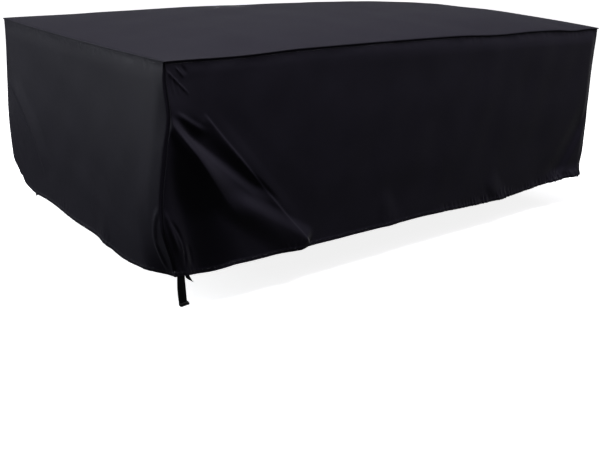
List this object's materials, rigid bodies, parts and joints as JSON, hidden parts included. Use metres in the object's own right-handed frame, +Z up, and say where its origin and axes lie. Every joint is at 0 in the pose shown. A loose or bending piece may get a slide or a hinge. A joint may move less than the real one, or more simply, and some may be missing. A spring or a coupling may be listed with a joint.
{
  "type": "patio furniture cover",
  "caption": "Rectangular fitted furniture cover: crowned top sheet, hanging skirts with corner folds and turned hems, and short webbing with a buckle half at one corner.",
  "frame": {"origin": "under the middle of the top sheet, where the covered furniture carries it", "axes": "+X along the long side, from the corner with the strap; +Y towards the far long side; +Z up"},
  "size_m": [2.5078, 1.3957, 0.9499],
  "materials": {
    "cloth": "black coated oxford cloth, soft sheen",
    "webbing": "black woven webbing",
    "buckle": "black moulded acetal"
  },
  "bodies": {
    "root": {"top_panel": "cloth", "front_panel": "cloth", "right_panel": "cloth", "back_panel": "cloth", "left_panel": "cloth", "corner_strap": "webbing", "corner_strap_tail": "webbing", "side_strap_tip": "webbing", "corner_buckle": "buckle"}
  },
  "joints": []
}
